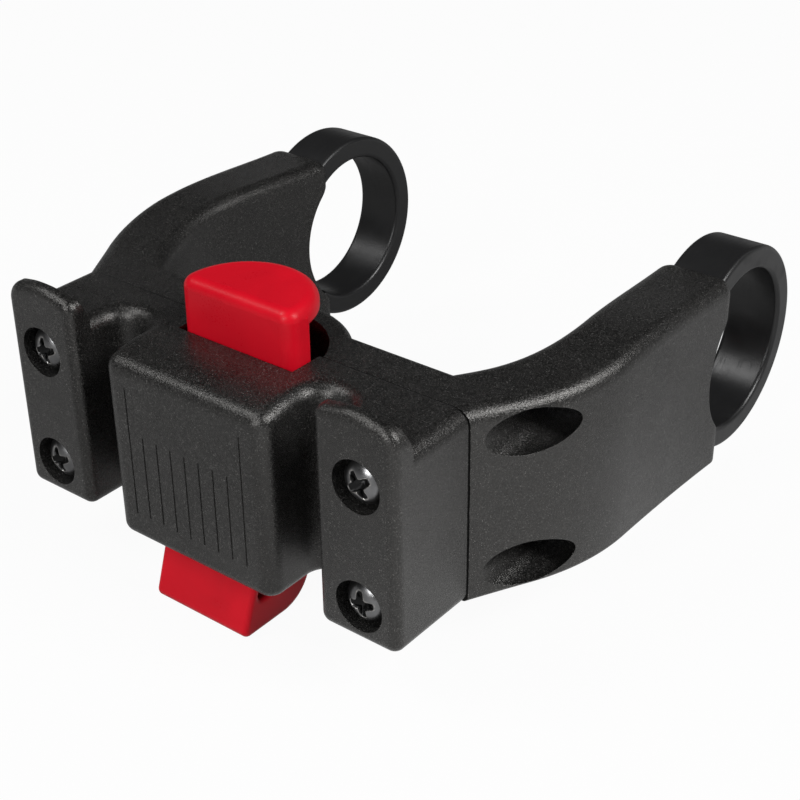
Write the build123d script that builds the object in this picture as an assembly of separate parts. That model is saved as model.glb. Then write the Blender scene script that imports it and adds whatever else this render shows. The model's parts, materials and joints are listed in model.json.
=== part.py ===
"""Bicycle handlebar bag mount: a quick-release plate on a forked yoke that straps to the bar.

Sizes are in millimetres. The handlebar's axis is the X axis and the origin is its middle.
The bag hooks on at the front (-Y), and the red button is pressed down from above (+Z).
"""
import os
from math import cos, radians, sin, sqrt, tan

from build123d import *

# Overall layout
BAR_TO_JOINT = 86.7      # bar axis to the joint between the plate and the yoke
BAR_HEIGHT = 22.1        # bar axis above the underside
BODY_H = 42.5            # height of the plate and the crossbar
PLATE_W = 101.0
EDGE_R = 3.3             # rounding of the upper edges
UNDER_R = 2.4            # rounding of the plate's lower edges
RUN_GAP = 0.35           # running clearance round the slide

# Quick-release plate
PLATE_T = 8.0            # thickness of the plate behind the channels
RAIL_W = 19.0
RAIL_REACH = 21.6        # rail's front face, from the joint
RAIL_R = 2.2             # rounding round a rail's front face
HEAD_RISE = 6.9          # crest of a rail's head above the plate
HEAD_CROWN = 2.0         # fall of the head's top to its sides
HEAD_OUT_R = 4.2         # head's outer corner, seen from the front
HEAD_IN_R = 2.6
HEAD_D = 5.2             # head's front face to the valley behind it
CREST_D = 2.6            # head's front face to its crest
CREST_R = 1.2
CREASE_BACK = 7.4        # fine crease on a rail's top, from the joint
CREASE_W = 0.3
HOUSING_W = 42.6
HOUSING_REACH = 23.4
HOUSING_R = 3.5
HOUSING_DROP = 2.0       # fall of the housing's top towards its front
CHANNEL_FLAT = 1.0       # floor of a bag-hook channel between its hollow corners
HOUSING_WALL = 3.6
HOUSING_LID = 6.0
LINE_PITCH = 3.78        # engraved grip lines on the housing
LINE_W = 0.4
LINE_DEPTH = 0.25
LINE_BASE = 6.5          # above the underside
SHORT_LINE = 19.1
LONG_LINE = 29.2
SHORT_LINES = 7

# Release slide
STEM_FRONT = 7.6         # stem's front face, from the joint
STEM_T = 5.4
STEM_R = 3.1             # stem's upright front corners
NECK_W = 29.4
SHOULDER_W = 32.2
SHOULDER_FOOT = 7.0      # above the underside
SHOULDER_R = 1.0
BUTTON_T = 4.6
BUTTON_BACK = 4.5        # centre of the button's round back, from the joint
BUTTON_EDGE = 2.5
BUTTON_UNDER_R = 1.2
TRAVEL = 6.4             # of the button, from rest to pressed
PRESSED_GAP = 0.5        # under the pressed button
LATCH_W = 25.4
LATCH_DROP = 13.4        # below the underside
LATCH_REACH = 23.4       # latch's lip, from the joint
LATCH_LEAN = 0.333       # latch's front wall, back for each unit up
LATCH_WALL = 2.6
LATCH_FLOOR = 7.2
LATCH_R = 1.2            # rounding of the latch's outer edges
LIP_R = 1.6              # rounding of the latch's lip
LATCH_BEND = 9.0
HOOK_R = 0.8             # rounding of the latch's top
HOLLOW_R = 1.0           # hollow corners inside the latch
LATCH_TOP = 7.8          # front wall's top, above the underside

# Well and return spring
WELL_R = 16.8
WELL_BACK = 5.3          # well's centre, from the joint
WELL_WALL = 4.7
WELL_DEPTH = 29.0
WELL_FLOOR = 3.0
SPRING_Y = 4.2           # spring's axis, behind the joint
SPRING_R = 3.2           # coil's mean radius
SPRING_WIRE = 1.0
SPRING_TURNS = 7
SLEEVE_GAP = 0.4         # round the spring, inside the button's sleeve
SLEEVE_WALL = 1.1
SLEEVE_L = 10.0

# Yoke
CROSSBAR_T = 10.4
CROSSBAR_EDGE = 1.6
ARM_FLARE = 31.0         # degrees outward from the joint
ARM_OUT = 64.1           # arm's outer face, from the middle
ARM_T = 15.3             # arm's thickness at its bend
ARM_BEND = 27.0          # inner bend, behind the joint
ARM_ROOT = 37.8          # inner face where it meets the crossbar
ARM_TUCK = 0.2           # arm's end inside its outer face
ARM_END_T = 17.5         # arm's thickness at its end
ARM_END = 10.4           # arm's end, in front of the bar axis
ARM_OUT_R = 45.0
ARM_IN_R = 42.0
ARM_END_R = 3.8
ARM_RISE = 1.5           # arm's end above the crossbar's top
ARM_SINK = 0.3           # arm's end below the crossbar's underside
ARM_ARCH = 1.5           # upward bow of an arm between its ends
ARM_UNDER_R = 0.9
SADDLE_FLARE = 2.5       # opening of the saddle towards its inner rim
SADDLE_R = 0.6           # rounding of the saddle's rim

# Handlebar straps
LOOP_R = 18.1
STRAP_T = 5.2
STRAP_W = 12.6
STRAP_SET = 9.2          # strap's middle, inside the arm's outer face
STRAP_R = 1.0
STRAP_ENTRY = 130.0      # degrees round the bar where a strap's tail leaves the loop
TAIL_W = 8.4
TAIL_SET = 7.2           # middle of a strap's tails and clamp screws, inside the arm's outer face
EYE_Y = 20.5             # eye's centre, in front of the bar axis
EYE_TOP = 6.8            # upper eye's centre, below the top
EYE_BASE = 6.2           # lower eye's centre, above the underside
EYE_WALL = 1.6
SLOT_GAP = 0.35

# Fasteners
PLATE_SCREW_END = 9.0    # from the plate's end
PLATE_SCREW_TOP = 8.3    # upper screws, below the top
PLATE_SCREW_BASE = 8.0   # lower screws, above the underside
PLATE_SCREW_L = 22.0
PLATE_HEAD_R = 4.75
PLATE_HEAD_H = 3.4
PLATE_HEAD_EDGE = 1.9    # rounding of the pan head
PLATE_HEAD_SUNK = 0.7    # top of the head below the rail's face
COUNTERBORE_R = 5.5
THREAD_R = 2.5
TIP_R = 0.8              # rounding of the screws' tips
SCREW_GAP = 0.25
INSERT_R = 3.5
INSERT_L = 8.0
INSERT_GROOVE = 0.4
RECESS_W = 1.5
RECESS_SPAN = 5.7
RECESS_DEPTH = 2.3
RECESS_TAPER = 9.0       # degrees
RECESS_TURNS = (15.0, 20.0, 35.0, 11.0)
CLAMP_HEAD_R = 4.25
CLAMP_HEAD_H = 5.0
CLAMP_HEAD_EDGE = 0.5
CLAMP_SEAT = 52.6        # head's seat, in front of the bar axis
TOOL_BORE_R = 4.8
HEX_FLATS = 4.0
HEX_DEPTH = 2.6
NUT_R = 3.0
NUT_L = 7.6
NUT_CHAMFER = 0.4

# Places that follow from the sizes above
JOINT_Y = -BAR_TO_JOINT
BASE_Z = -BAR_HEIGHT
TOP_Z = BASE_Z + BODY_H
HALF_W = PLATE_W / 2
RAIL_IN = HALF_W - RAIL_W
CHANNEL_R = (RAIL_IN - HOUSING_W / 2 - CHANNEL_FLAT) / 2
PLATE_FRONT = JOINT_Y - PLATE_T
RAIL_FRONT = JOINT_Y - RAIL_REACH
RAIL_BACK = RAIL_FRONT + HEAD_D
HOUSING_FRONT = JOINT_Y - HOUSING_REACH
CAVITY_FRONT = HOUSING_FRONT + HOUSING_WALL
CAVITY_TOP = TOP_Z - HOUSING_LID
BUTTON_UNDER = TOP_Z + TRAVEL + PRESSED_GAP
WELL_Y = JOINT_Y - WELL_BACK
WELL_BASE = TOP_Z - WELL_DEPTH
ARM_IN = ARM_OUT - ARM_T
ARM_END_OUT = ARM_OUT - ARM_TUCK
ARM_END_IN = ARM_END_OUT - ARM_END_T
STRAP_X = ARM_OUT - STRAP_SET
TAIL_X = ARM_OUT - TAIL_SET
LOOP_MID = LOOP_R + STRAP_T / 2
PLATE_SCREW_X = HALF_W - PLATE_SCREW_END
SCREW_SEAT = RAIL_FRONT + PLATE_HEAD_SUNK + PLATE_HEAD_H
PLATE_SCREW_Z = {"upper": TOP_Z - PLATE_SCREW_TOP, "lower": BASE_Z + PLATE_SCREW_BASE}
EYE_AT = {"upper": TOP_Z - EYE_TOP, "lower": BASE_Z + EYE_BASE}
SIDES = {"left": -1, "right": 1}


def outline(corners):
    """Closed face through (u, v, radius) corners, each one rounded by its radius."""
    edges = []
    starts = []
    ends = []
    for i, (u, v, r) in enumerate(corners):
        here = Vector(u, v)
        before = (Vector(*corners[i - 1][:2]) - here).normalized()
        after = (Vector(*corners[(i + 1) % len(corners)][:2]) - here).normalized()
        half = radians(before.get_angle(after)) / 2
        cut = r / tan(half) if r else 0
        starts.append(here + before * cut)
        ends.append(here + after * cut)
        if r:
            middle = here + (before + after).normalized() * (r / sin(half) - r)
            edges.append(ThreePointArc(starts[-1], middle, ends[-1]))
    for i in range(len(corners)):
        if (starts[i] - ends[i - 1]).length > 1e-6:
            edges.append(Line(ends[i - 1], starts[i]))
    return make_face(edges)


def mirrored(right):
    """Corner list of a symmetric outline, from the corners of its right half."""
    return right + [(-u, v, r) for u, v, r in reversed(right)]


def along_x(face, low, high):
    return extrude(Plane.YZ.offset(low) * face, amount=high - low)


def along_y(face, low, high):
    return extrude(Plane.XZ.offset(-high) * face, amount=high - low)


def along_z(face, low, high):
    return extrude(Plane.XY.offset(low) * face, amount=high - low)


def block(x0, x1, y0, y1, z0, z1):
    """Box between two corners."""
    return Pos((x0 + x1) / 2, (y0 + y1) / 2, (z0 + z1) / 2) * Box(x1 - x0, y1 - y0, z1 - z0)


def bore_y(x, z, radius, low, high):
    """Cylinder along Y, used for holes and shanks."""
    return along_y(Pos(x, z) * Circle(radius), low, high)


def bore_x(y, z, radius, low, high):
    """Cylinder along X."""
    return along_x(Pos(y, z) * Circle(radius), low, high)


def rim_edges(faces):
    """Edges round faces that run on smoothly, without those on the joint and against the rails' fronts."""
    edges = [edge for face in faces for edge in face.edges()]
    rim = [e for e in edges if sum((e.center() - other.center()).length < 1e-3 for other in edges) == 1]
    return [e for e in rim if min(abs(e.center().Y - y) for y in (JOINT_Y, RAIL_BACK)) > 1e-3]


def rail_front(side):
    """Upright front of a rail, rounded all round its face, with a head whose back falls to the valley."""
    crest = TOP_Z + HEAD_RISE
    shoulder = crest - HEAD_CROWN
    front = along_y(outline([
        (RAIL_IN, BASE_Z, UNDER_R), (HALF_W, BASE_Z, UNDER_R), (HALF_W, shoulder, HEAD_OUT_R),
        (HALF_W - RAIL_W / 2, crest, RAIL_W), (RAIL_IN, shoulder, HEAD_IN_R)]), RAIL_FRONT, RAIL_BACK)
    front = fillet(front.faces().sort_by(Axis.Y)[0].edges(), RAIL_R)
    section = outline([
        (RAIL_BACK, BASE_Z, 0), (RAIL_FRONT, BASE_Z, 0), (RAIL_FRONT, crest, 0),
        (RAIL_FRONT + CREST_D, crest, CREST_R), (RAIL_BACK, TOP_Z, 0)])
    front = front & along_x(section, RAIL_IN, HALF_W)
    return front if side > 0 else mirror(front, about=Plane.YZ)


def make_front_plate():
    """Plate with rails, housing and heads; hollow and open below for the slide."""
    plan = outline(mirrored([
        (HOUSING_W / 2, HOUSING_FRONT, HOUSING_R), (HOUSING_W / 2, PLATE_FRONT, CHANNEL_R),
        (RAIL_IN, PLATE_FRONT, CHANNEL_R), (RAIL_IN, RAIL_BACK, 0),
        (HALF_W, RAIL_BACK, 0), (HALF_W, JOINT_Y, 0)]))
    plate = along_z(plan, BASE_Z, TOP_Z)
    level = (PLATE_FRONT - CHANNEL_R, TOP_Z)
    low = (HOUSING_FRONT, TOP_Z - HOUSING_DROP)
    above = make_face([
        TangentArc(level, low, tangent=(-1, 0)), Line(low, (HOUSING_FRONT, TOP_Z)),
        Line((HOUSING_FRONT, TOP_Z), level)])
    plate -= along_x(above, -HOUSING_W / 2, HOUSING_W / 2)
    tops = [face for face in plate.faces() if face.normal_at().Z > 0.9]
    plate = fillet(rim_edges(tops), EDGE_R)
    plate = fillet(rim_edges([plate.faces().sort_by(Axis.Z)[0]]), UNDER_R)
    for side in SIDES.values():
        plate += rail_front(side)
        crease = JOINT_Y - CREASE_BACK
        ends = sorted((side * RAIL_IN, side * (HALF_W - EDGE_R)))
        plate -= block(*ends, crease - CREASE_W, crease, TOP_Z - CREASE_W, TOP_Z)
    half_cavity = SHOULDER_W / 2 + RUN_GAP
    half_slot = NECK_W / 2 + RUN_GAP
    slot_front = JOINT_Y - STEM_FRONT - RUN_GAP
    plate -= block(-half_cavity, half_cavity, CAVITY_FRONT, JOINT_Y, BASE_Z, CAVITY_TOP)
    plate -= block(-half_slot, half_slot, slot_front, JOINT_Y, CAVITY_TOP, TOP_Z)
    for side in SIDES.values():
        for z in PLATE_SCREW_Z.values():
            x = side * PLATE_SCREW_X
            plate -= bore_y(x, z, COUNTERBORE_R, RAIL_FRONT, SCREW_SEAT)
            plate -= bore_y(x, z, THREAD_R + SCREW_GAP, SCREW_SEAT, JOINT_Y)
    reach = SHORT_LINES // 2 + 1
    foot = BASE_Z + LINE_BASE
    for i in range(-reach, reach + 1):
        length = LONG_LINE if abs(i) == reach else SHORT_LINE
        low = i * LINE_PITCH - LINE_W / 2
        floor = HOUSING_FRONT + LINE_DEPTH
        plate -= block(low, low + LINE_W, HOUSING_FRONT, floor, foot, foot + length)
    return plate


def strap_tail(side, level, gap):
    """Strap's tail and eye where they run into an arm, grown by a gap for the slot."""
    turn = radians(STRAP_ENTRY if level == "upper" else -STRAP_ENTRY)
    start = Vector(LOOP_MID * cos(turn), LOOP_MID * sin(turn))
    eye = Vector(-EYE_Y, EYE_AT[level])
    way = (eye - start).normalized()
    across = Vector(-way.Y, way.X) * (STRAP_T / 2 + gap)
    tail = make_face(Polyline(start + across, eye + across, eye - across, start - across, close=True))
    shape = tail + Pos(eye.X, eye.Y) * Circle(NUT_R + EYE_WALL + gap)
    half = TAIL_W / 2 + gap
    solid = along_x(shape, TAIL_X - half, TAIL_X + half)
    return solid if side > 0 else mirror(solid, about=Plane.YZ)


def strap_loop(side, gap):
    """Open loop of a strap round the bar, with rounded edges."""
    width = STRAP_W + 2 * gap
    section = Pos(STRAP_X, LOOP_MID) * RectangleRounded(width, STRAP_T + 2 * gap, STRAP_R)
    loop = revolve(Rot(-STRAP_ENTRY, 0, 0) * section, axis=Axis.X, revolution_arc=2 * STRAP_ENTRY)
    return loop if side > 0 else mirror(loop, about=Plane.YZ)


def make_strap(side):
    """Strap with an eye at each end for a barrel nut and its screw."""
    strap = strap_loop(side, 0)
    for level, z in EYE_AT.items():
        strap += strap_tail(side, level, 0)
        strap -= bore_x(-EYE_Y, z, NUT_R, side * TAIL_X - TAIL_W, side * TAIL_X + TAIL_W)
        front = -EYE_Y - NUT_R - EYE_WALL
        strap -= bore_y(side * TAIL_X, z, THREAD_R + SCREW_GAP, front, -EYE_Y)
    return strap


def make_arm():
    """Right arm of the yoke, from the joint plane to its end in front of the bar."""
    flare_y = JOINT_Y + (ARM_OUT - HALF_W) / tan(radians(ARM_FLARE))
    slope = (ARM_IN - ARM_ROOT) / (ARM_BEND - CROSSBAR_T)
    plan = outline([
        (HALF_W, JOINT_Y, 0), (ARM_OUT, flare_y, ARM_OUT_R), (ARM_END_OUT, -ARM_END, ARM_END_R),
        (ARM_END_IN, -ARM_END, ARM_END_R), (ARM_IN, JOINT_Y + ARM_BEND, ARM_IN_R),
        (ARM_ROOT - slope * CROSSBAR_T, JOINT_Y, 0)])
    arm = along_z(plan, BASE_Z - BODY_H, TOP_Z + BODY_H) & arm_profile()
    arm = fillet(rim_edges([arm.faces().sort_by(Axis.Z)[-1]]), EDGE_R)
    arm = fillet(rim_edges([arm.faces().sort_by(Axis.Z)[0]]), ARM_UNDER_R)
    wide = (ARM_END_IN - EDGE_R, LOOP_R + SADDLE_FLARE)
    saddle = make_face([
        Line((PLATE_W, 0), (PLATE_W, LOOP_R)), Line((PLATE_W, LOOP_R), (STRAP_X, LOOP_R)),
        TangentArc((STRAP_X, LOOP_R), wide, tangent=(-1, 0)), Line(wide, (wide[0], 0)),
        Line((wide[0], 0), (PLATE_W, 0))])
    arm -= revolve(saddle, axis=Axis.X)
    cut = arm.faces().filter_by(lambda f: abs(f.center().Z) < 3 and f.center().Y > -LOOP_R - SADDLE_FLARE)
    rim = [edge for face in cut for edge in face.edges() if abs(edge.center().X - STRAP_X) > 1e-3]
    return fillet(rim, SADDLE_R)


def arm_profile():
    """Side view of an arm, which bows up a little between the joint and the bar."""
    middle = (JOINT_Y - ARM_END) / 2
    top_end = TOP_Z + ARM_RISE
    low_end = BASE_Z - ARM_SINK
    root = JOINT_Y + CROSSBAR_T
    crown = (middle, TOP_Z + ARM_RISE / 2 + ARM_ARCH)
    profile = make_face([
        Line((JOINT_Y, TOP_Z), (root, TOP_Z)),
        Spline((root, TOP_Z), crown, (-ARM_END, top_end), tangents=((1, 0), (1, 0))),
        Line((-ARM_END, top_end), (-ARM_END, low_end)),
        ThreePointArc((-ARM_END, low_end), (middle, BASE_Z - ARM_SINK / 2 + ARM_ARCH), (JOINT_Y, BASE_Z)),
        Line((JOINT_Y, BASE_Z), (JOINT_Y, TOP_Z))])
    return along_x(profile, 0, ARM_OUT)


def make_yoke():
    """Crossbar, arms and spring well in one moulding, bored for the inserts, tools and straps."""
    bar_back = JOINT_Y + CROSSBAR_T
    crossbar = block(-ARM_ROOT - EDGE_R, ARM_ROOT + EDGE_R, JOINT_Y, bar_back, BASE_Z, TOP_Z)
    rear = crossbar.faces().sort_by(Axis.Y)[-1]
    crossbar = fillet(rear.edges().filter_by(Axis.X), CROSSBAR_EDGE)
    arm = make_arm()
    yoke = crossbar + arm + mirror(arm, about=Plane.YZ)
    cup_r = WELL_R + WELL_WALL
    cup = outline([
        (0, WELL_BASE - WELL_FLOOR, 0), (cup_r, WELL_BASE - WELL_FLOOR, WELL_FLOOR),
        (cup_r, TOP_Z, CROSSBAR_EDGE), (0, TOP_Z, 0)])
    cup = Pos(0, WELL_Y, 0) * revolve(Plane.XZ * cup, axis=Axis.Z)
    behind = block(-PLATE_W, PLATE_W, JOINT_Y, 0, BASE_Z, TOP_Z)
    yoke += cup & behind
    yoke -= along_z(Pos(0, WELL_Y) * Circle(WELL_R), WELL_BASE, TOP_Z) & behind
    for side in SIDES.values():
        for z in PLATE_SCREW_Z.values():
            x = side * PLATE_SCREW_X
            yoke -= bore_y(x, z, INSERT_R, JOINT_Y, JOINT_Y + INSERT_L)
        yoke -= strap_loop(side, SLOT_GAP)
        for level, z in EYE_AT.items():
            x = side * TAIL_X
            yoke -= bore_y(x, z, TOOL_BORE_R, JOINT_Y, -CLAMP_SEAT)
            yoke -= bore_y(x, z, THREAD_R + SCREW_GAP, -CLAMP_SEAT, -EYE_Y)
            yoke -= strap_tail(side, level, SLOT_GAP)
    return yoke


def make_slide():
    """Red release slide: button, neck, shoulders that stop it in the housing, and hooked latch."""
    front = JOINT_Y - STEM_FRONT
    back = front + STEM_T
    foot = BASE_Z + SHOULDER_FOOT
    stop = CAVITY_TOP - RUN_GAP
    half = NECK_W / 2
    stem = along_y(outline(mirrored([
        (LATCH_W / 2, BASE_Z, 0), (LATCH_W / 2, foot, 0), (SHOULDER_W / 2, foot, SHOULDER_R),
        (SHOULDER_W / 2, stop, SHOULDER_R), (half, stop, 0), (half, stop + SHOULDER_R, 0)])), front, back)
    neck = outline([(-half, back, 0), (-half, front, STEM_R), (half, front, STEM_R), (half, back, 0)])
    neck = along_z(neck, stop, BUTTON_UNDER + BUTTON_T / 2)
    centre = JOINT_Y - BUTTON_BACK
    cap = outline([(-half, centre, 0), (-half, front, STEM_R), (half, front, STEM_R), (half, centre, 0)])
    cap += Pos(0, centre) * Circle(half) & Pos(0, centre + half) * Rectangle(2 * half, 2 * half)
    button = along_z(cap, BUTTON_UNDER, BUTTON_UNDER + BUTTON_T)
    button = fillet(button.faces().sort_by(Axis.Z)[-1].edges(), BUTTON_EDGE)
    button = fillet(button.faces().sort_by(Axis.Z)[0].edges(), BUTTON_UNDER_R)
    rise = LATCH_DROP + LATCH_TOP
    lip = -LATCH_REACH
    top_front = lip + LATCH_LEAN * rise
    floor_front = lip + LATCH_LEAN * LATCH_FLOOR + LATCH_WALL
    low = BASE_Z - LATCH_DROP
    corners = [
        (STEM_T - STEM_FRONT, BASE_Z + SHOULDER_R, 0), (STEM_T - STEM_FRONT, low, LATCH_BEND),
        (lip, low, LIP_R),
        (top_front, BASE_Z + LATCH_TOP, HOOK_R), (top_front + LATCH_WALL, BASE_Z + LATCH_TOP, HOOK_R),
        (floor_front, low + LATCH_FLOOR, HOLLOW_R), (-STEM_FRONT, low + LATCH_FLOOR, HOLLOW_R),
        (-STEM_FRONT, BASE_Z + SHOULDER_R, 0)]
    latch = along_x(outline([(JOINT_Y + u, v, r) for u, v, r in corners]), -LATCH_W / 2, LATCH_W / 2)
    ends = [e for e in latch.edges() if abs(e.center().X) > LATCH_W / 2 - 1e-3]
    outer = [e for e in ends if e.center().Z < low + LATCH_FLOOR - HOLLOW_R / 2]
    latch = fillet(outer, LATCH_R)
    sleeve_r = SPRING_R + SPRING_WIRE / 2 + SLEEVE_GAP
    ring = Circle(sleeve_r + SLEEVE_WALL) - Circle(sleeve_r)
    sleeve = along_z(Pos(0, JOINT_Y + SPRING_Y) * ring, BUTTON_UNDER - SLEEVE_L, BUTTON_UNDER + BUTTON_T / 2)
    return stem + neck + button + latch + sleeve


def make_spring():
    """Return spring with flat ground ends, from the well's floor to the button."""
    length = BUTTON_UNDER - WELL_BASE
    path = Helix(length / SPRING_TURNS, length, SPRING_R)
    section = Plane(path @ 0, z_dir=path % 0) * RegularPolygon(SPRING_WIRE / 2, 8)
    coil = sweep(section, path=path, is_frenet=True)
    half = SPRING_R + SPRING_WIRE
    return Pos(0, JOINT_Y + SPRING_Y, WELL_BASE) * (coil & block(-half, half, -half, half, 0, length))


def cross_recess(turn):
    """Cross-shaped driver recess, narrowing with depth."""
    arms = Rectangle(RECESS_SPAN, RECESS_W) + Rectangle(RECESS_W, RECESS_SPAN)
    arms += Circle(RECESS_W)
    return Rot(0, 0, turn) * extrude(arms, amount=-RECESS_DEPTH, taper=RECESS_TAPER)


def make_plate_screw(turn):
    """Pan-head screw standing on its seat at the origin, head up."""
    head = outline([
        (0, 0, 0), (PLATE_HEAD_R, 0, 0), (PLATE_HEAD_R, PLATE_HEAD_H, PLATE_HEAD_EDGE), (0, PLATE_HEAD_H, 0)])
    shank = outline([
        (0, 0, 0), (THREAD_R, 0, 0), (THREAD_R, -PLATE_SCREW_L, TIP_R), (0, -PLATE_SCREW_L, 0)])
    screw = revolve(Plane.XZ * head, axis=Axis.Z) + revolve(Plane.XZ * shank, axis=Axis.Z)
    return screw - Pos(0, 0, PLATE_HEAD_H) * cross_recess(turn)


def make_clamp_screw():
    """Cap screw with a hexagon socket, standing on its seat at the origin, head up."""
    length = CLAMP_SEAT - EYE_Y + sqrt(NUT_R**2 - THREAD_R**2) - SCREW_GAP
    head = outline([
        (0, 0, 0), (CLAMP_HEAD_R, 0, 0), (CLAMP_HEAD_R, CLAMP_HEAD_H, CLAMP_HEAD_EDGE), (0, CLAMP_HEAD_H, 0)])
    shank = outline([(0, 0, 0), (THREAD_R, 0, 0), (THREAD_R, -length, TIP_R), (0, -length, 0)])
    screw = revolve(Plane.XZ * head, axis=Axis.Z) + revolve(Plane.XZ * shank, axis=Axis.Z)
    socket = RegularPolygon(HEX_FLATS / 2, 6, major_radius=False)
    return screw - along_z(socket, CLAMP_HEAD_H - HEX_DEPTH, CLAMP_HEAD_H)


def make_insert():
    """Threaded insert with two knurl grooves, mouth on the joint plane, along Y."""
    waist = INSERT_R - INSERT_GROOVE
    band = INSERT_L / 4
    wall = Polyline(
        (THREAD_R, 0), (INSERT_R, 0), (INSERT_R, band), (waist, band),
        (waist, 1.5 * band), (INSERT_R, 1.5 * band), (INSERT_R, 2.5 * band),
        (waist, 2.5 * band), (waist, 3 * band), (INSERT_R, 3 * band),
        (INSERT_R, INSERT_L), (THREAD_R, INSERT_L), close=True)
    return revolve(Plane.XZ * make_face(wall), axis=Axis.Z)


def make_nut(z):
    """Barrel nut lying along X in a strap's eye, with its thread along Y."""
    nut = bore_x(-EYE_Y, z, NUT_R, -NUT_L / 2, NUT_L / 2)
    nut = chamfer(nut.edges().filter_by(GeomType.CIRCLE), NUT_CHAMFER)
    return nut - bore_y(0, z, THREAD_R, -EYE_Y - NUT_R, -EYE_Y + NUT_R)


def facing_front(shape, x, y, z):
    """Turn a screw that stands head up so that its head looks to the front."""
    return Pos(x, y, z) * Rot(90, 0, 0) * shape


pieces = {
    "front_plate": make_front_plate(),
    "yoke": make_yoke(),
    "release_slide": make_slide(),
    "return_spring": make_spring(),
}
turns = iter(RECESS_TURNS)
for hand, side in SIDES.items():
    pieces["clamp_strap_" + hand] = make_strap(side)
    for level in ("upper", "lower"):
        place = level + "_" + hand
        x = side * PLATE_SCREW_X
        z = PLATE_SCREW_Z[level]
        eye_z = EYE_AT[level]
        pieces["plate_screw_" + place] = facing_front(make_plate_screw(next(turns)), x, SCREW_SEAT, z)
        pieces["plate_insert_" + place] = Pos(x, JOINT_Y, z) * Rot(-90, 0, 0) * make_insert()
        pieces["clamp_screw_" + place] = facing_front(make_clamp_screw(), side * TAIL_X, -CLAMP_SEAT, eye_z)
        pieces["clamp_nut_" + place] = Pos(side * TAIL_X, 0, 0) * make_nut(eye_z)

os.makedirs("parts", exist_ok=True)
for name, shape in pieces.items():
    export_step(shape, "parts/" + name + ".step")
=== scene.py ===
"""Looks of a quick-release handlebar bag mount.

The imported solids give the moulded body, the clamp straps and the red slide their shape.
This file gives those their finishes, makes the screws and the return spring as surfaces with
threads, recesses and round wire, and sets the object on a pale studio floor.
"""

import json
import math

import bpy
import numpy as np
from bpy.props import FloatProperty, FloatVectorProperty, IntProperty, PointerProperty
from mathutils import Matrix, Vector


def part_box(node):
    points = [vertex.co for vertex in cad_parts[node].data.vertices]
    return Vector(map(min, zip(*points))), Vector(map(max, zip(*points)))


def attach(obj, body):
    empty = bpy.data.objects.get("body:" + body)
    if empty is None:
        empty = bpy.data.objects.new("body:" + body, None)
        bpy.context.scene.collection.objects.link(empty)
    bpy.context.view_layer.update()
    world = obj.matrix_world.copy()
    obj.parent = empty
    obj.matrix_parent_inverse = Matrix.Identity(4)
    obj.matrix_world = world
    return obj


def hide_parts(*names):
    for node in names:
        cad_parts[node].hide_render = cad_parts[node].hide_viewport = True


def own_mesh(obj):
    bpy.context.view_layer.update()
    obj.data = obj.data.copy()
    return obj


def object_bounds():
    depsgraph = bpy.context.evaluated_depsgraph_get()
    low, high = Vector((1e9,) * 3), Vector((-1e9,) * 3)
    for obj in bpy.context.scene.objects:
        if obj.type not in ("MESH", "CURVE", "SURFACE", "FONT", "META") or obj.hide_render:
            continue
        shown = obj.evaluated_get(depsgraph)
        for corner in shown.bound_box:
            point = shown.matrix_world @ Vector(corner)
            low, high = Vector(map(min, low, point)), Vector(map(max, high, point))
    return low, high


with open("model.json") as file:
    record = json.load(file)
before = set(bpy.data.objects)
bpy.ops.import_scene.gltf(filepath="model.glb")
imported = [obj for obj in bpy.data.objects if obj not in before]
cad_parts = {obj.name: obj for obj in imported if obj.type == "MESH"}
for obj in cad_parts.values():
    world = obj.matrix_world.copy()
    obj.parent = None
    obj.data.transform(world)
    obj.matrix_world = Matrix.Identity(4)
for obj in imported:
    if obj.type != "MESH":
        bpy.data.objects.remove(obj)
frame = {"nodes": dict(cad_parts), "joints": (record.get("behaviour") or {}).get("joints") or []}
CAD_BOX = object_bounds()

bl_info = {
    "name": "Handlebar Bag Mount",
    "version": (1, 0, 0),
    "blender": (4, 5, 0),
    "location": "View3D > Sidebar > Bag Mount",
    "description": "Finishes, fasteners and studio for a quick-release handlebar bag mount",
    "category": "Object",
}

MM = 0.001
PLACES = ("upper_left", "lower_left", "upper_right", "lower_right")

# The plane in which the plate's back meets the yoke's front.
JOINT_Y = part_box("yoke")[0].y

# How far down the button goes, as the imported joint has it.
TRAVEL = next(joint["range_m"][1] for joint in frame["joints"] if joint["name"] == "release_press")

# Turn of each screw's recess in degrees, in the order of the places.
PLATE_SCREW_TURNS = (15.0, 20.0, 35.0, 11.0)
CLAMP_SCREW_TURNS = (10.0, 37.0, 52.0, 21.0)

# Colours that the finishes mix in: the dark seam line, painted shade in the screws' recesses, the strap's
# lighter colour along rounded edges, and scuffs on the red slide.
SEAM_DARK = (0.001, 0.001, 0.001)
PAINTED_RECESS_SHADE = (0.004, 0.004, 0.004)
STRAP_EDGE_LIGHTER = (0.03, 0.03, 0.031)
RED_SCUFFED = (0.62, 0.06, 0.07)

# Cosine of the lean at which a rounded edge begins to take its edge colour, and at which it takes all of it:
# a painted highlight on the nylon, a lighter colour on the straps, scuffs on the red slide.
EDGE_BEGINS = 0.995
EDGE_FULL = 0.86

# Powers of the superellipse of one arm of the cross recess, and of the sum that joins the two arms.
ARM_POWER = 3.6
JOIN_POWER = 4

# Place and size of each lamp, in metres.
LAMPS = {
    "front": ((0.12, -1.15, 0.62), 0.42),
    "overhead": ((-0.56, -0.62, 1.06), 0.48),
    "side": ((1.0, 0.1, 0.85), 0.5),
    "rear": ((0.6, 0.8, 0.95), 0.5),
}
FLOOR_REACH = 3.0

# Where the floor's brightness, as gloss sees it, begins and ends its change: across, and to the rear.
GLOSS_ACROSS = (-0.02, 0.09)
GLOSS_REAR = (-0.06, 0.03)

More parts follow.
